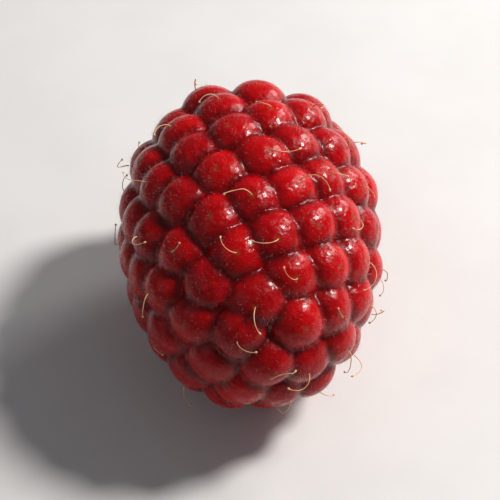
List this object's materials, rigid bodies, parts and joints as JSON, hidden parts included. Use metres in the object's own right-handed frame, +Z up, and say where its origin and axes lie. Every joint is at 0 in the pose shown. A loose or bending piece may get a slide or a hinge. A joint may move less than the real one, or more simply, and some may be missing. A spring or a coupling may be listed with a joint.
{
  "type": "raspberry",
  "caption": "Ripe picked raspberry lying on its side: plump fused drupelets around an open hollow where the receptacle was, with soft deep red skin.",
  "frame": {"origin": "on the surface that the berry lies on, under the middle of its bounding box", "axes": "+Z up; +Y along the berry's long axis from the tip towards the mouth of its hollow, so the tip points along -Y"},
  "size_m": [0.0212, 0.0256, 0.0201],
  "materials": {
    "raspberry": "moist, softly glossy, slightly translucent deep red fruit skin with fine pale down"
  },
  "bodies": {
    "root": {"raspberry": "raspberry"}
  },
  "joints": []
}
